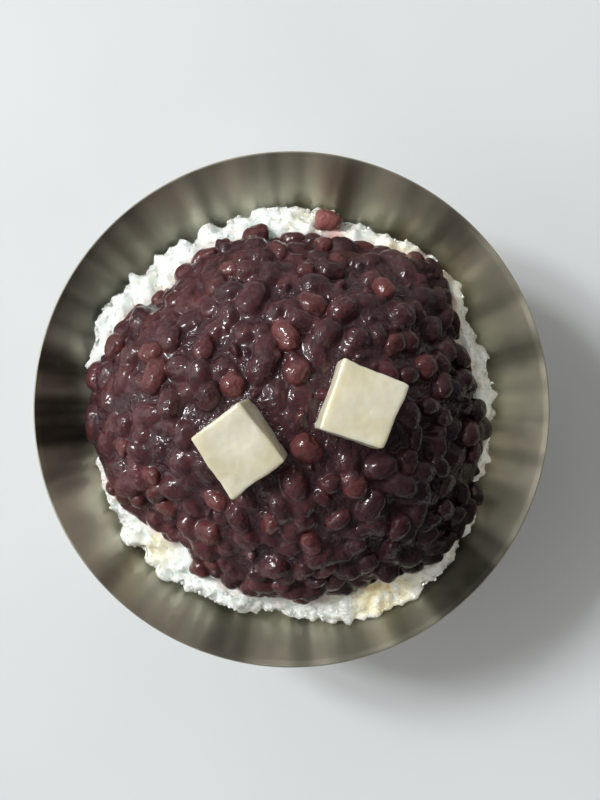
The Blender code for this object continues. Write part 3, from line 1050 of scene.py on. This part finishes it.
LEADS = (
    Lead(230, 272, 25, 20, 0, 0.75, True),
    Lead(186, 286, 35, 20, 12, 0.45, False),
    Lead(156, 296, 19, 17, 60, 0.60, True),
    Lead(296, 251, 23, 20, 0, 0.45, False),
    Lead(314, 237, 26, 21, 20, 0.25, True),
    Lead(289, 282, 25, 19, 10, 0.75, False),
    Lead(312, 306, 34, 25, -35, 0.60, True),
    Lead(287, 336, 37, 24, -65, 0.85, True),
    Lead(253, 299, 42, 28, 80, 0.40, False),
    Lead(244, 333, 20, 19, 0, 0.50, False),
    Lead(262, 331, 17, 15, 0, 0.40, False),
    Lead(234, 385, 26, 25, 30, 0.90, True),
    Lead(222, 370, 26, 22, 50, 0.40, False),
    Lead(190, 324, 36, 27, 10, 0.35, False),
    Lead(148, 337, 28, 19, 80, 0.60, False),
    Lead(120, 350, 30, 24, 80, 0.55, True),
    Lead(158, 377, 40, 27, 75, 0.65, True),
    Lead(189, 391, 24, 20, 20, 0.60, False),
    Lead(296, 371, 30, 25, 60, 0.75, True),
    Lead(301, 396, 24, 20, 0, 0.40, False),
    Lead(276, 399, 33, 17, -80, 0.35, False),
    Lead(292, 420, 30, 18, -60, 0.30, False),
    Lead(148, 414, 35, 21, 5, 0.65, False),
    Lead(126, 446, 22, 20, -20, 0.75, True),
    Lead(142, 434, 24, 17, 10, 0.60, False),
    Lead(173, 426, 20, 17, 0, 0.50, False),
    Lead(97, 421, 34, 23, 80, 0.40, False),
    Lead(107, 376, 28, 22, 60, 0.45, False),
    Lead(211, 257, 20, 15, -20, 0.60, True),
    Lead(223, 245, 17, 13, -40, 0.65, True),
    Lead(240, 246, 22, 17, 70, 0.40, False),
    Lead(319, 259, 24, 21, 0, 0.20, False),
    Lead(335, 297, 27, 18, -10, 0.40, False),
    Lead(361, 249, 33, 15, 38, 0.65, True),
    Lead(370, 262, 26, 20, 60, 0.35, False),
    Lead(372, 280, 23, 20, 20, 0.50, False),
    Lead(384, 291, 25, 21, 100, 0.80, True),
    Lead(405, 269, 34, 24, 85, 0.35, False),
    Lead(431, 272, 25, 19, 85, 0.30, True),
    Lead(424, 297, 28, 21, 20, 0.15, False),
    Lead(452, 325, 32, 15, -62, 0.35, True),
    Lead(365, 302, 25, 18, 0, 0.25, False),
    Lead(357, 338, 24, 21, 10, 0.30, False),
    Lead(379, 336, 21, 18, 80, 0.20, False),
    Lead(408, 341, 26, 22, 0, 0.35, False),
    Lead(402, 316, 29, 26, 0, 0.35, False),
    Lead(430, 327, 25, 24, 0, 0.30, False),
    Lead(424, 367, 30, 26, 30, 0.85, True),
    Lead(454, 358, 27, 24, 100, 0.45, True),
    Lead(472, 365, 20, 14, -40, 0.60, True),
    Lead(453, 391, 26, 24, 0, 0.10, False),
    Lead(472, 411, 28, 24, 20, 0.10, True),
    Lead(440, 416, 25, 23, 90, 0.35, True),
    Lead(315, 352, 36, 20, -65, 0.40, False),
    Lead(469, 453, 24, 21, 80, 0.95, True),
    Lead(413, 437, 31, 16, 85, 0.20, True),
    Lead(349, 463, 21, 20, 0, 0.35, False),
    Lead(382, 467, 34, 24, 10, 0.30, False),
    Lead(332, 483, 22, 21, 30, 0.30, True),
    Lead(322, 496, 20, 15, -40, 0.30, True),
    Lead(339, 518, 28, 18, 40, 0.45, True),
    Lead(371, 506, 38, 26, 70, 0.30, False),
    Lead(397, 526, 31, 22, 80, 0.50, True),
    Lead(416, 514, 40, 18, 85, 0.30, False),
    Lead(359, 531, 28, 17, 10, 0.35, False),
    Lead(311, 542, 29, 21, -72, 0.80, True),
    Lead(305, 522, 22, 19, 0, 0.50, False),
    Lead(290, 547, 24, 20, 30, 0.35, False),
    Lead(367, 559, 26, 24, 20, 0.30, True),
    Lead(368, 577, 18, 13, -20, 0.20, True),
    Lead(410, 556, 28, 25, 30, 0.20, False),
    Lead(443, 539, 27, 21, 10, 0.30, True),
    Lead(302, 595, 22, 18, 0, 0.55, True),
    Lead(154, 474, 20, 19, 0, 0.75, True),
    Lead(141, 495, 20, 19, 0, 0.60, True),
    Lead(159, 448, 18, 16, 80, 0.35, False),
    Lead(182, 463, 30, 26, 70, 0.45, False),
    Lead(191, 480, 25, 21, 10, 0.30, False),
    Lead(121, 467, 28, 20, 10, 0.45, False),
    Lead(116, 486, 18, 15, 20, 0.55, True),
    Lead(217, 499, 31, 20, -20, 0.80, True),
    Lead(193, 506, 25, 21, 100, 0.60, False),
    Lead(148, 515, 21, 17, 30, 0.55, False),
    Lead(172, 519, 17, 15, 0, 0.40, False),
    Lead(167, 536, 22, 20, 80, 0.45, False),
    Lead(190, 539, 24, 20, 20, 0.50, False),
    Lead(247, 538, 30, 26, -40, 0.55, False),
    Lead(226, 547, 25, 19, 70, 0.60, False),
    Lead(259, 570, 24, 21, 0, 0.10, True),
    Lead(231, 568, 18, 16, 90, 0.45, False),
    Lead(218, 571, 18, 15, 0, 0.25, True),
    Lead(281, 581, 22, 18, 10, 0.55, True),
    Lead(246, 500, 22, 19, 0, 0.40, False),
    Lead(270, 494, 22, 18, 0, 0.30, False),
)


@dataclass
class BeanHeap:
    """The cap of sweet red beans: beans over the dome, bits of crushed bean and the paste that binds them."""

    mound: Mound
    cakes: list[RiceCake]
    picture: Picture
    count: int = 330
    crumbs: int = 300
    grid: int = 310
    length: tuple[float, float] = (7.2 * MM, 10.0 * MM)
    breadth: tuple[float, float] = (0.68, 0.82)
    flatness: tuple[float, float] = (0.86, 1.0)
    crumb: tuple[float, float] = (0.8 * MM, 2.1 * MM)
    proud: tuple[float, float] = (-1.3 * MM, 1.3 * MM)
    tilt: float = 26
    blend: float = 0.45 * MM
    reach: float = 5.5 * MM
    near: int = 13
    stray_place_mm: tuple[float, float] = (11.4, 59.5)
    stray_size_mm: tuple[float, float, float] = (9.2, 6.3, 5.8)
    stray_turn: float = -8
    overhangs: tuple[tuple[float, float], ...] = ((186, 0.6 * MM), (-28, 0.5 * MM))
    skirt: float = 4 * MM
    lumps_mm: tuple[tuple[float, float], ...] = ((8, 0.8), (2.6, 0.35))
    pulp_mm: tuple[tuple[float, float], ...] = ((2.3, 0.30), (1.1, 0.13))
    half_width: float = 60 * MM
    place_spread: float = 1.0 * MM
    turn_spread: float = 0.06
    lead_gap: float = 2.1 * MM
    cake_gap: float = 2.0 * MM
    packing: float = 0.92
    push_rounds: int = 40
    march_rounds: int = 15
    scarred: float = 0.3
    seed: int = 20

    def even_shares(self, count: int) -> Array:
        """Shares that part the dome, from its top to its foot, into bands of equal area."""
        share = np.linspace(0, 1, 600)
        area = np.zeros(len(share))
        for angle in np.linspace(0, FULL_TURN, 32, endpoint=False):
            line = self.mound.dome(share, angle + 0 * share, self.mound.paste_depth)
            step = np.linalg.norm(np.diff(line, axis=0), axis=1)
            radius = np.hypot(line[:, 0], line[:, 1])
            area[1:] += np.cumsum(step * (radius[1:] + radius[:-1]))
        return np.interp((np.arange(count) + 0.5) / count * area[-1], area, share)

    def overhang(self, place: Array) -> float:
        """How much further out the lowest beans stand, where they hang over the ice."""
        share, angle = self.mound.nearest(place)
        low = float(np.clip((share - 0.78) / 0.18, 0, 1))
        reaches = []
        for degrees, reach in self.overhangs:
            facing = math.cos(angle - math.radians(degrees))
            reaches.append(reach * float(np.clip((facing - 0.75) / 0.15, 0, 1)))
        return low * max(reaches)

    def grounded(self, places: Array) -> tuple[Array, Array]:
        """The dome's points over or under some places, and the directions out of it there."""
        share, angle = self.mound.nearest(places)
        share = np.clip(share, 0, 0.995)
        depth = self.mound.paste_depth
        return self.mound.dome(share, angle, depth), self.mound.dome_normal(share, angle, depth)

    def pinned(self, lead: Lead, draw: np.random.Generator) -> Bean:
        """Lays a lead bean where the camera sees it."""
        height = 90 * MM
        for _ in range(14):
            place = self.picture.place(lead.x, lead.y, height)
            point, normal = (rows[0] for rows in self.grounded(place[None, :]))
            height = (height + point[2]) / 2
        slant = math.radians(lead.slant)
        along = np.array([math.cos(slant), math.sin(slant), 0])
        along = unit(along - normal * (along @ normal))
        turn = np.stack([along, np.cross(normal, along), normal], axis=1)
        wide = lead.wide / self.picture.scale(height)
        half = np.array([lead.long / self.picture.scale(height), wide, 0.94 * wide]) / 2
        proud = (draw.uniform(0.1, 0.9) if lead.bare else draw.uniform(-0.9, 0.1)) * MM + self.overhang(point)
        coat = Coat.BARE if lead.bare else Coat.FILM
        return Bean(point + normal * proud, turn, half, lead.tone, coat)

    def lay(self) -> list[Bean]:
        """Lays the lead beans, then the rest in a spiral that makes room for them, then the crushed bits."""
        draw = np.random.default_rng(self.seed)
        beans = [self.pinned(lead, draw) for lead in LEADS]
        fixed = np.array([bean.place for bean in beans])
        fixed_radius = np.array([bean.radius for bean in beans])
        shares = self.even_shares(self.count)
        golden_turn = math.pi * (3 - math.sqrt(5))
        angles = np.arange(self.count) * golden_turn + draw.normal(0, self.turn_spread, self.count)
        loose = self.mound.dome(shares, angles, self.mound.paste_depth)
        loose += draw.normal(0, self.place_spread, (self.count, 3))
        clear = np.linalg.norm(loose[:, None] - fixed[None], axis=2) - fixed_radius
        loose = loose[clear.min(axis=1) > self.lead_gap]
        lengths = draw.uniform(*self.length, len(loose))
        breadths = lengths * draw.uniform(*self.breadth, len(loose))
        radius = np.concatenate([fixed_radius, BEAN_ROOM / 2 * (lengths + breadths)])
        points = np.concatenate([fixed, loose])
        first = len(fixed)
        for _ in range(self.push_rounds):
            gap = points[:, None] - points[None, :]
            away = np.linalg.norm(gap, axis=2) + np.eye(len(points))
            push = np.clip(self.packing * (radius[:, None] + radius[None]) - away, 0, None)
            push = push[..., None] * gap / away[..., None]
            points[first:] += 0.3 * push.sum(axis=1)[first:]
            points[first:] = self.grounded(points[first:])[0]
        ground, normals = self.grounded(points[first:])
        for point, normal, long, wide in zip(ground, normals, lengths, breadths):
            if min(cake.depth(point[None, :])[0] for cake in self.cakes) < self.cake_gap:
                continue
            proud = draw.uniform(*self.proud) + self.overhang(point)
            upright = Vector(normal).to_track_quat("Z", "X").to_matrix()
            tilts = Euler([math.radians(x) for x in draw.normal(0, self.tilt / 2, 3)]).to_matrix()
            turn = np.array(upright @ tilts @ Matrix.Rotation(draw.uniform(0, FULL_TURN), 3, "Z"))
            half = np.array([long, wide, wide * draw.uniform(*self.flatness)]) / 2
            right = point[0] / self.half_width
            coat = Coat.BARE if draw.random() < 0.35 + 0.35 * right and proud > -0.5 * MM else Coat.FILM
            # Painted shade: loose beans' tones run darker towards +X, the heap's side away from the window.
            tone = float(np.clip(draw.normal(0.45 - 0.25 * right, 0.18), 0, 1))
            beans.append(Bean(point + normal * proud, turn, half, tone, coat))
        return beans + self.crushed(draw)

    def crushed(self, draw: np.random.Generator) -> list[Bean]:
        """Small bits of crushed bean for the paste between the whole ones."""
        shares = draw.permutation(self.even_shares(self.crumbs))
        angles = draw.uniform(0, FULL_TURN, self.crumbs)
        points = self.mound.dome(shares, angles, self.mound.paste_depth)
        normals = self.mound.dome_normal(shares, angles, self.mound.paste_depth)
        bits = []
        for point, normal in zip(points, normals):
            length = draw.uniform(*self.crumb)
            half = length * np.array([1.0, draw.uniform(0.5, 0.9), draw.uniform(0.35, 0.7)])
            turn = np.array(Euler(draw.uniform(0, FULL_TURN, 3)).to_matrix())
            place = point + normal * draw.uniform(-0.4, 1.3) * MM
            bits.append(Bean(place, turn, half, float(draw.uniform(0.1, 0.8)), Coat.CRUMB))
        return bits

    @staticmethod
    def outside(points: Array, places: Array, turns: Array, halves: Array) -> Array:
        """Distance outside a rounded barrel of a bean, about right near its surface.

        Args:
            points: Points, with one bean for each.
            places: The beans' middles.
            turns: The beans' turns, whose columns are their own axes.
            halves: The beans' half sizes.

        Returns:
            The distances, negative inside.
        """
        local = np.abs(np.einsum("nji,nj->ni", turns, points - places) / halves)
        size = (local**BEAN_POWER).sum(axis=1) ** (1 / BEAN_POWER)
        return (size - 1) * halves.min(axis=1)

    def cover(self, beans: list[Bean]) -> bpy.types.Object:
        """The paste: a skin over the dome that wraps the beans and rises a little round bare ones."""
        steps = np.linspace(-1, 1, self.grid)
        across, along = np.meshgrid(steps, steps)
        share = np.maximum(np.abs(across), np.abs(along))
        wide = np.abs(across) >= np.abs(along)
        slope_a = along / np.where(across == 0, 1, across)
        slope_b = across / np.where(along == 0, 1, along)
        side_a = np.where(across < 0, math.pi, 0) + math.pi / 4 * slope_a
        side_b = np.where(along < 0, -math.pi / 2, math.pi / 2) - math.pi / 4 * slope_b
        angle = np.where(wide, side_a, side_b)
        dome_share, drop = self.flow(share)
        base = self.mound.dome(dome_share, angle, self.mound.paste_depth)
        normal = self.mound.dome_normal(dome_share, angle, self.mound.paste_depth).reshape(-1, 3)
        base = (base - drop[..., None] * np.array([0, 0, 1])).reshape(-1, 3)
        lean = 0.2 * MM - 0.5 * MM * base[:, 0] / self.half_width
        level = layered(base, self.lumps_mm, seed=11) + lean
        height, film, tone, join = self.march(base, normal, level, beans)
        height += layered(base, self.pulp_mm, seed=13)
        points = np.concatenate([base + normal * height[:, None], [(0, 0, self.mound.ledge - 6 * MM)]])
        size = self.grid
        quads = [
            (row + k, row + k + 1, row + size + k + 1, row + size + k)
            for row in range(0, size * (size - 1), size)
            for k in range(size - 1)
        ]
        border = list(range(size)) + [size * k + size - 1 for k in range(1, size)]
        border += [size * size - 1 - k for k in range(1, size)]
        border += [size * (size - 1 - k) for k in range(1, size - 1)]
        fan = [(len(points) - 1, b, a) for a, b in zip(border, border[1:] + border[:1])]
        piece = mesh_piece("bean_paste", points, quads + fan)
        for name, values in (("film", film), ("tone", tone), ("join", join)):
            paint(piece, name, np.append(values, 0))
        return dress(piece, BeanPaste().material(), Slot.BEANS, "red_beans")

    def flow(self, share: Array) -> tuple[Array, Array]:
        """Turns an even share of the paste's grid into a share of the dome and a drop below its foot."""
        fine = np.linspace(0, 1, 800)
        length = np.zeros(len(fine))
        for angle in np.linspace(0, FULL_TURN, 12, endpoint=False):
            line = self.mound.dome(fine, angle + 0 * fine, self.mound.paste_depth)
            length[1:] += np.cumsum(np.linalg.norm(np.diff(line, axis=0), axis=1)) / 12
        run = share * (length[-1] + self.skirt)
        return np.interp(run, length, fine), np.maximum(run - length[-1], 0)

    def march(self, base: Array, normal: Array, level: Array, beans: list[Bean]) -> tuple[Array, ...]:
        """Walks in from outside along each direction to the skin of paste over the beans.

        Args:
            base: Points of the smooth dome.
            normal: Directions out of it.
            level: Height of the plain paste at each point.
            beans: The beans that the paste wraps.

        Returns:
            The paste's height over each point, how much of a bean lies close under it, that bean's tone, and
            how much two things meet there.
        """
        places = np.array([bean.place for bean in beans])
        turns = np.array([bean.turn for bean in beans])
        halves = np.array([bean.half for bean in beans])
        tones = np.array([bean.tone for bean in beans])
        swell = {Coat.BARE: -0.45 * MM, Coat.FILM: 0.12 * MM, Coat.CRUMB: 0.0}
        sunk = np.array([-swell[bean.coat] for bean in beans])
        spans = halves.max(axis=1).astype(np.float32)
        close = []
        for block in np.array_split(base, 40):
            away = np.linalg.norm(block[:, None] - places[None], axis=2) - spans
            close.append(np.argpartition(away, self.near, axis=1)[:, : self.near])
        close = np.concatenate(close)
        height = np.full(len(base), self.reach)
        for _ in range(self.march_rounds):
            points = base + normal * height[:, None]
            each = [self.outside(points, places[k], turns[k], halves[k]) + sunk[k] for k in close.T]
            cakes = [np.maximum(cake.depth(points) + 0.5 * MM, height - 3 * MM) for cake in self.cakes]
            every = np.stack([*each, height - level, *cakes], axis=1)
            nearest = every.min(axis=1)
            weights = np.exp(-(every - nearest[:, None]) / self.blend)
            total = weights.sum(axis=1)
            distance = nearest - self.blend * np.log(total)
            height = height - np.clip(distance, -0.5 * MM, None) * 0.85
        weights /= total[:, None]
        of_beans = weights[:, : self.near]
        film = of_beans.sum(axis=1)
        tone = (of_beans * tones[close]).sum(axis=1) / np.maximum(film, 1e-6)
        return height, film, tone, 1 - weights.max(axis=1)

    def strew(self, beans: list[Bean]) -> bpy.types.Object:
        """The beans that show their own skin, as one piece."""
        draw = np.random.default_rng(self.seed + 1)
        gathered = Joined("beans")
        for bean in beans:
            if bean.coat is Coat.BARE:
                points, faces, scar = BeanForm().grow(bean.half, draw)
                seen = scar * (draw.random() < self.scarred)
                gathered.add(points @ bean.turn.T + bean.place, faces, bean.tone, seen)
        return dress(gathered.piece(), BeanSkin().material(), Slot.BEANS, "red_beans")

    def drop(self, ice: bpy.types.Object) -> bpy.types.Object:
        """The bean that has rolled off the heap and lies on the ice behind it."""
        x, y = (part * MM for part in self.stray_place_mm)
        snow = np.array([vertex.co for vertex in ice.data.vertices])
        under = snow[np.hypot(snow[:, 0] - x, snow[:, 1] - y) < 2 * MM]
        half = np.array(self.stray_size_mm) * MM / 2
        place = np.array([x, y, under[:, 2].max() + 0.5 * half[2]])
        turn = np.array(Euler((0.25, 0.05, math.radians(self.stray_turn))).to_matrix())
        points, faces, _ = BeanForm().grow(half, np.random.default_rng(self.seed + 2))
        gathered = Joined("stray_bean")
        gathered.add(points @ turn.T + place, faces, 0.95)
        faded = BeanSkin(dark=(0.12, 0.045, 0.045), red=(0.27, 0.095, 0.085))
        return dress(gathered.piece(), faded.material(), Slot.BEANS, "shaved_ice")

    def build(self) -> None:
        """Lays the beans, covers them with paste and strews the bare ones on it."""
        beans = self.lay()
        log.info("%d beans, %d of them bare", len(beans), sum(bean.coat is Coat.BARE for bean in beans))
        self.cover(beans)
        self.strew(beans)


def toward(degrees: tuple[float, float]) -> Vector:
    """The direction at a turn from +X and a rise over the table."""
    turn, rise = (math.radians(part) for part in degrees)
    return Vector((math.cos(turn) * math.cos(rise), math.sin(turn) * math.cos(rise), math.sin(rise)))


@dataclass
class Studio:
    """The table, the window light and the camera over the bowl."""

    picture: Picture
    aim: tuple[float, float, float] = (0.0, 0.0, 60 * MM)
    window_way: tuple[float, float] = (154.0, 47.0)
    window_distance: float = 3.0
    pane: tuple[float, float] = (0.32, 0.70)
    pane_gap: float = 0.10
    pane_power: float = 35.0
    daylight: Colour = (0.95, 0.985, 1.0)
    card_way: tuple[float, float] = (-18.0, 36.0)
    card_distance: float = 0.4
    card_size: float = 0.2
    card_power: float = 0.36
    warm: Colour = (1.0, 0.96, 0.86)
    air: Colour = (1.0, 0.985, 0.96)
    ceiling: float = 0.26
    far_side: float = 0.07
    glow: float = 1.0
    overhead: float = 0.25
    ring: tuple[tuple[float, float], ...] = (
        (-180, 1.2), (-170, 1.8), (-150, 1.3), (-130, 0.6), (-110, 1.4), (-90, 1.6), (-70, 1.2),
        (-40, 0.4), (-15, 0.8), (0, 0.5), (12, 0.9), (25, 2.2), (45, 1.5), (70, 1.4), (90, 1.6),
        (110, 1.0), (135, 0.4), (155, 0.8), (170, 1.8),
    )
    ring_top: tuple[float, float] = (0.5, 0.85)
    side_span: tuple[float, float] = (-0.8, 0.3)
    glow_span: tuple[float, float] = (0.5, 1.0)
    overhead_span: tuple[float, float] = (0.72, 0.95)
    table_reach: float = 40.0

    def build(self, bowl: bpy.types.Object, ice: Sequence[bpy.types.Object]) -> None:
        """Sets up the camera, the lights and the table.

        Args:
            bowl: The metal bowl, which the panes leave to the softer light of the room.
            ice: The pieces of ice, whose far side a small card brightens as the real bowl's wall would.
        """
        self.camera()
        self.window(bowl)
        self.card(ice)
        self.room()
        self.table()
        bpy.context.scene.view_settings.view_transform = "Standard"

    def camera(self) -> None:
        """A camera looking straight down, with +Y up the picture."""
        data = bpy.data.cameras.new("camera")
        data.lens, data.sensor_width = self.picture.lens, self.picture.sensor
        data.clip_start, data.clip_end = 0.01, 20
        eye = bpy.data.objects.new("camera", data)
        eye.location = self.picture.eye
        bpy.context.scene.collection.objects.link(eye)
        bpy.context.scene.camera = eye

    def lamp(
        self, name: str, way: Vector, distance: float, size: Sequence[float], power: float, tone: Colour
    ) -> bpy.types.Object:
        """A soft rectangular lamp that shines on the dish.

        Args:
            name: Its name.
            way: Its direction from the dish.
            distance: How far off it hangs.
            size: Its width and height.
            power: Its power in watts.
            tone: Its colour.

        Returns:
            The lamp, linked to the scene.
        """
        data = bpy.data.lights.new(name, "AREA")
        data.shape = "RECTANGLE"
        data.size, data.size_y = size
        data.energy, data.color = power, tone
        lamp = bpy.data.objects.new(name, data)
        lamp.location = Vector(self.aim) + way * distance
        lamp.rotation_mode = "QUATERNION"
        lamp.rotation_quaternion = (-way).to_track_quat("-Z", "Y")
        bpy.context.scene.collection.objects.link(lamp)
        return lamp

    def window(self, bowl: bpy.types.Object) -> None:
        """Two tall soft panes of daylight, up to the left, kept off the mirror of the bowl."""
        kept_off = bpy.data.collections.new("kept_off")
        kept_off.objects.link(bowl)
        kept_off.collection_objects[0].light_linking.link_state = "EXCLUDE"
        way = toward(self.window_way)
        for side in (-1, 1):
            pane = self.lamp("pane", way, self.window_distance, self.pane, self.pane_power, self.daylight)
            aside = Vector((side * (self.pane[0] + self.pane_gap) / 2, 0, 0))
            pane.location += pane.rotation_quaternion @ aside
            pane.light_linking.receiver_collection = kept_off

    def card(self, ice: Sequence[bpy.types.Object]) -> None:
        """A small warm card low on the right that lights the ice alone."""
        lit = bpy.data.collections.new("lit")
        for piece in ice:
            lit.objects.link(piece)
        way, size = toward(self.card_way), (self.card_size, self.card_size)
        card = self.lamp("card", way, self.card_distance, size, self.card_power, self.warm)
        card.light_linking.receiver_collection = lit

    def room(self) -> None:
        """The room's light: a glow round the window, a dim far side and light and dark places low down."""
        world = bpy.data.worlds.new("room")
        world.use_nodes = True
        nodes = Nodes(world.node_tree)
        direction = nodes.add("ShaderNodeTexCoord").outputs["Generated"]
        facing = nodes.along(direction, toward(self.window_way))
        height = nodes.add("ShaderNodeSeparateXYZ", direction).outputs["Z"]
        sides = nodes.spread(facing, *self.side_span, self.far_side, self.ceiling)
        open_sky = nodes.sum("ADD", sides, nodes.spread(facing, *self.glow_span, 0.0, self.glow))
        ring = nodes.compass(direction, self.ring)
        low, high = (nodes.spread(height, *self.ring_top, *ends) for ends in ((1.0, 0.0), (0.0, 1.0)))
        ringed = nodes.sum("ADD", nodes.sum("MULTIPLY", ring, low), high)
        darker = nodes.spread(height, *self.overhead_span, 1.0, self.overhead)
        sky = nodes.tree.nodes["Background"]
        nodes.feed(sky.inputs["Color"], self.air)
        nodes.feed(sky.inputs["Strength"], nodes.sum("MULTIPLY", open_sky, ringed, darker))
        bpy.context.scene.world = world

    def table(self) -> None:
        """A table top under the bowl, pale near it, with a painted falloff to grey further off."""
        points = np.array([(-1, -1, 0), (1, -1, 0), (1, 1, 0), (-1, 1, 0)]) * self.table_reach
        top = mesh_piece("table", points, [(0, 1, 2, 3)])
        top.data.materials.append(TableTop().material())


def main() -> None:
    """Builds the dish piece by piece, then the studio, and notes the sizes."""
    logging.basicConfig(level=logging.INFO, format="%(name)s: %(message)s")
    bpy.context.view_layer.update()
    mound = Mound()
    picture = Picture()
    # Two copies of one flesh: the left cake's is darker as painted shade and the right cake's paler as
    # painted light, to even out how the light falls on them.
    painted_shade_flesh, painted_light_flesh = RiceCakeFlesh(), RiceCakeFlesh(ivory=(0.785, 0.72, 0.52), pale=(0.84, 0.795, 0.63))
    cakes = [
        RiceCake("rice_cake_left", (-15.2, -11.2, 104.0), (18.8, 19.8, 15.0), 36.5, 14.0, painted_shade_flesh),
        RiceCake("rice_cake_right", (20.4, 1.3, 104.3), (19.2, 20.0, 15.0), -20.5, 10.0, painted_light_flesh),
    ]
    bowl = Bowl(mound).build()
    bank, flakes = ShavedIce(mound).build()
    heap = BeanHeap(mound, cakes, picture)
    heap.build()
    heap.drop(bank)
    for cake in cakes:
        cake.build()
    Studio(picture).build(bowl, [bank, flakes])


if __name__ == "__main__":
    main()
